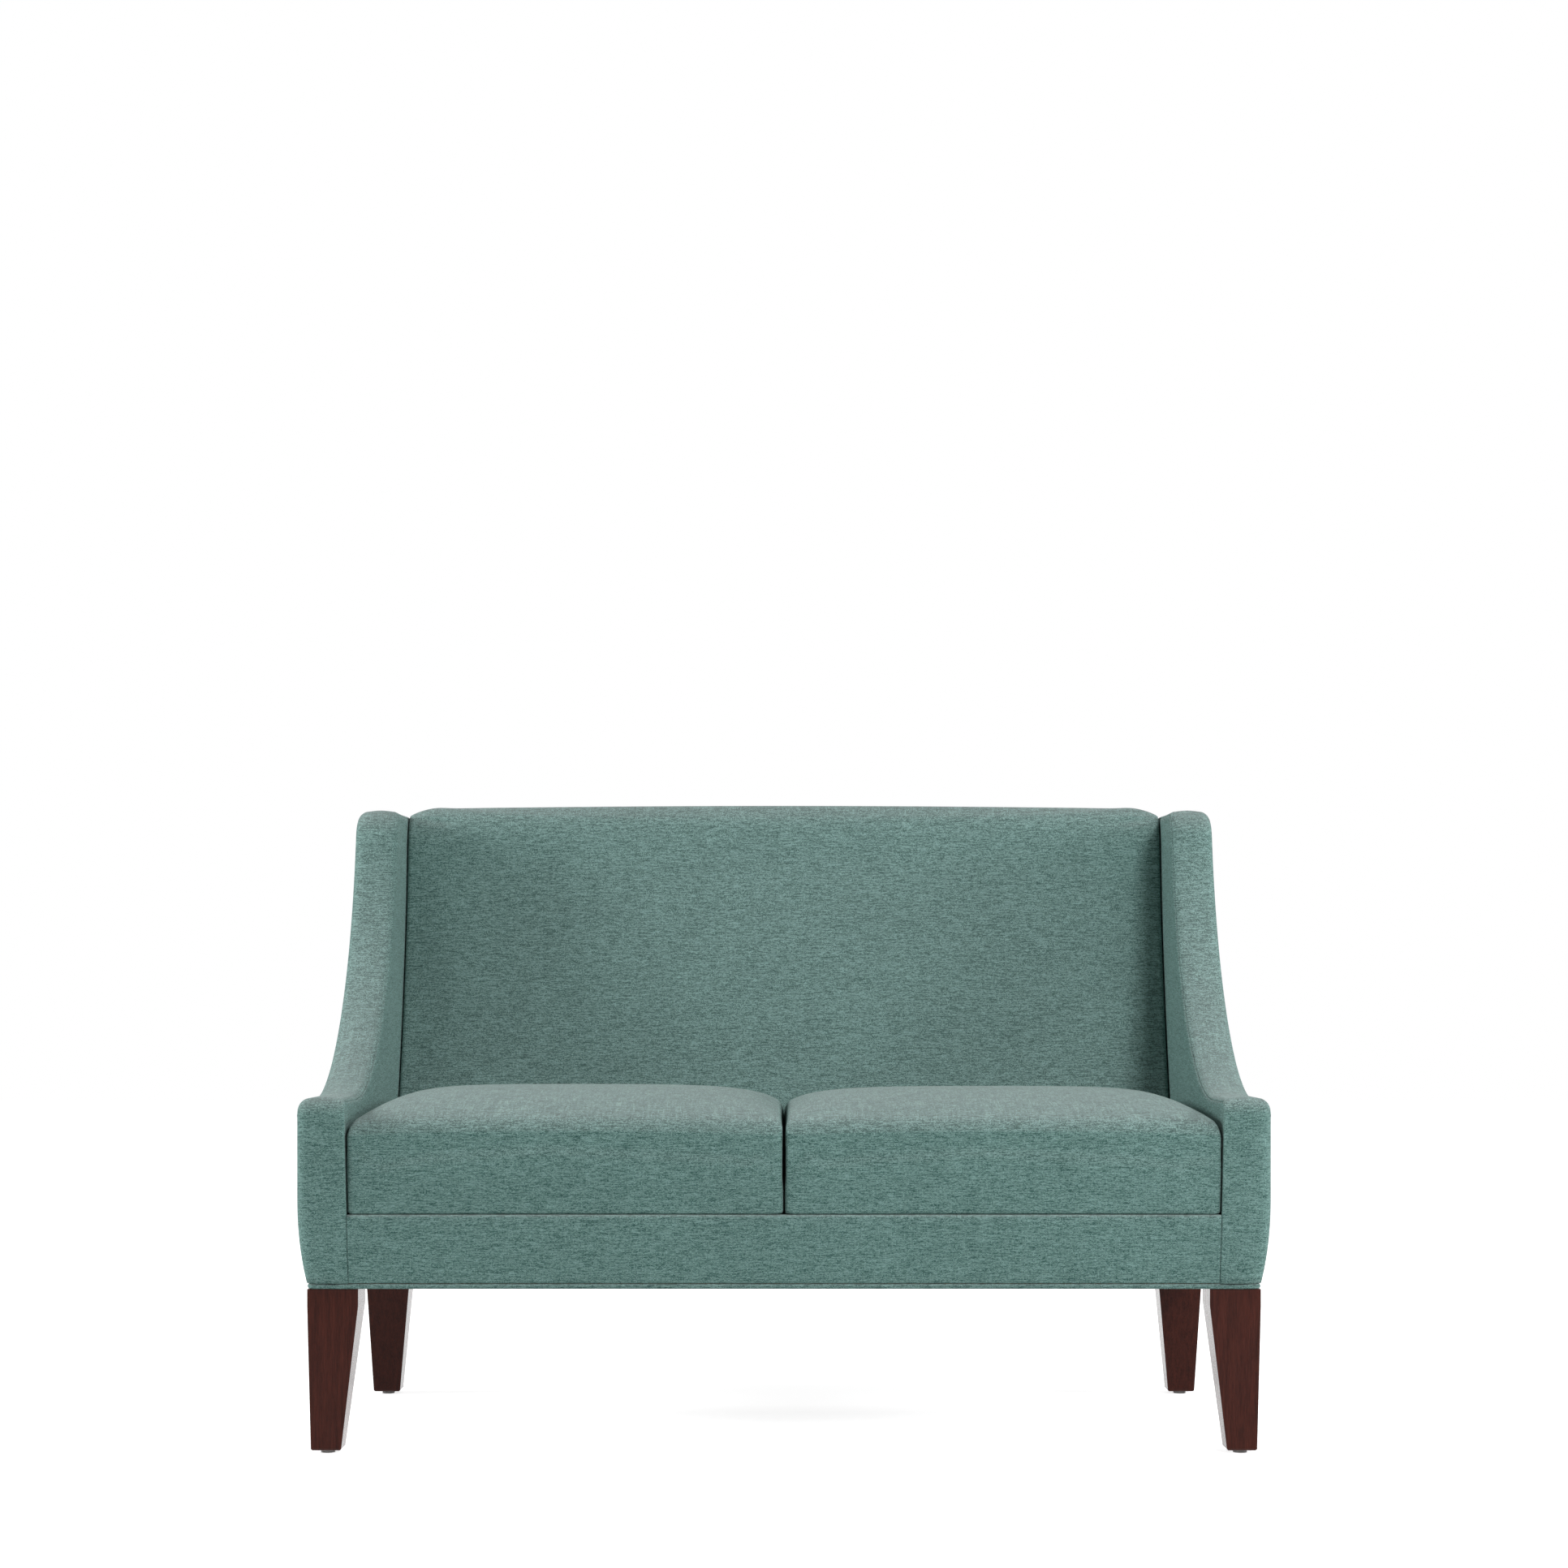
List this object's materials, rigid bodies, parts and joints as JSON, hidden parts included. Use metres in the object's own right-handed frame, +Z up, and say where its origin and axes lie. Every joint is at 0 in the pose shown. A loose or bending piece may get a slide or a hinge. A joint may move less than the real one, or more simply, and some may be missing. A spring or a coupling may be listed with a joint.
{
  "type": "high back settee",
  "caption": "Upholstered settee with swept wing arms, tight padded back, loose crowned seat cushions, welted base and tapered wooden legs.",
  "frame": {"origin": "on the floor under the middle of the settee", "axes": "+Z up, front towards -Y, +X to the right as seen from the front"},
  "size_m": [1.32, 0.76, 0.924],
  "materials": {
    "upholstery": "heathered flat-woven upholstery cloth, matte",
    "leg_wood": "dark cherry stain, satin lacquer",
    "frame_wood": "planed, unfinished",
    "board": "hardboard, smooth side out",
    "foam": "cut foam and wadding",
    "webbing": "woven elastic webbing",
    "lining": "black felt and cambric",
    "steel": "zinc plated",
    "brass": "as turned",
    "glide_plastic": "moulded, pale grey",
    "zip": "coil zip on woven tape"
  },
  "bodies": {
    "frame": {"front_rail": "frame_wood", "rear_rail": "frame_wood", "side_rail_left": "frame_wood", "side_rail_right": "frame_wood", "centre_rail": "frame_wood", "corner_blocks": "frame_wood", "rail_dowels": "frame_wood", "arm_panel_left": "frame_wood", "arm_panel_right": "frame_wood", "arm_base_left": "frame_wood", "arm_base_right": "frame_wood", "back_post_left": "frame_wood", "back_post_right": "frame_wood", "back_centre_post": "frame_wood", "back_top_rail": "frame_wood", "back_dowels": "frame_wood", "seat_webbing_long": "webbing", "seat_webbing_cross": "webbing", "seat_deck": "lining", "dust_cover": "lining", "back_webbing": "webbing", "back_foam": "foam", "back_cover": "upholstery", "outside_back_board": "board", "outside_back_cover": "upholstery", "arm_foam_left": "foam", "arm_foam_right": "foam", "inside_arm_cover_left": "upholstery", "inside_arm_cover_right": "upholstery", "outside_arm_cover_left": "upholstery", "outside_arm_cover_right": "upholstery", "arm_band_left": "upholstery", "arm_band_right": "upholstery", "front_rail_padding": "foam", "front_rail_cover": "upholstery", "base_welt": "upholstery", "arm_bolts": "steel", "arm_tee_nuts": "steel", "front_leg_left": "leg_wood", "front_leg_right": "leg_wood", "rear_leg_left": "leg_wood", "rear_leg_right": "leg_wood", "leg_bolts": "steel", "leg_inserts": "brass", "glides": "glide_plastic", "glide_nails": "steel"},
    "cushion_left": {"seat_cover_left": "upholstery", "seat_foam_left": "foam", "seat_zip_left": "zip"},
    "cushion_right": {"seat_cover_right": "upholstery", "seat_foam_right": "foam", "seat_zip_right": "zip"}
  },
  "joints": [
    {"name": "cushion_left_lift", "type": "slide", "parent": "frame", "child": "cushion_left", "axis": [0, 0, 1], "range_m": [0, 0.6]},
    {"name": "cushion_right_lift", "type": "slide", "parent": "frame", "child": "cushion_right", "axis": [0, 0, 1], "range_m": [0, 0.6]}
  ]
}
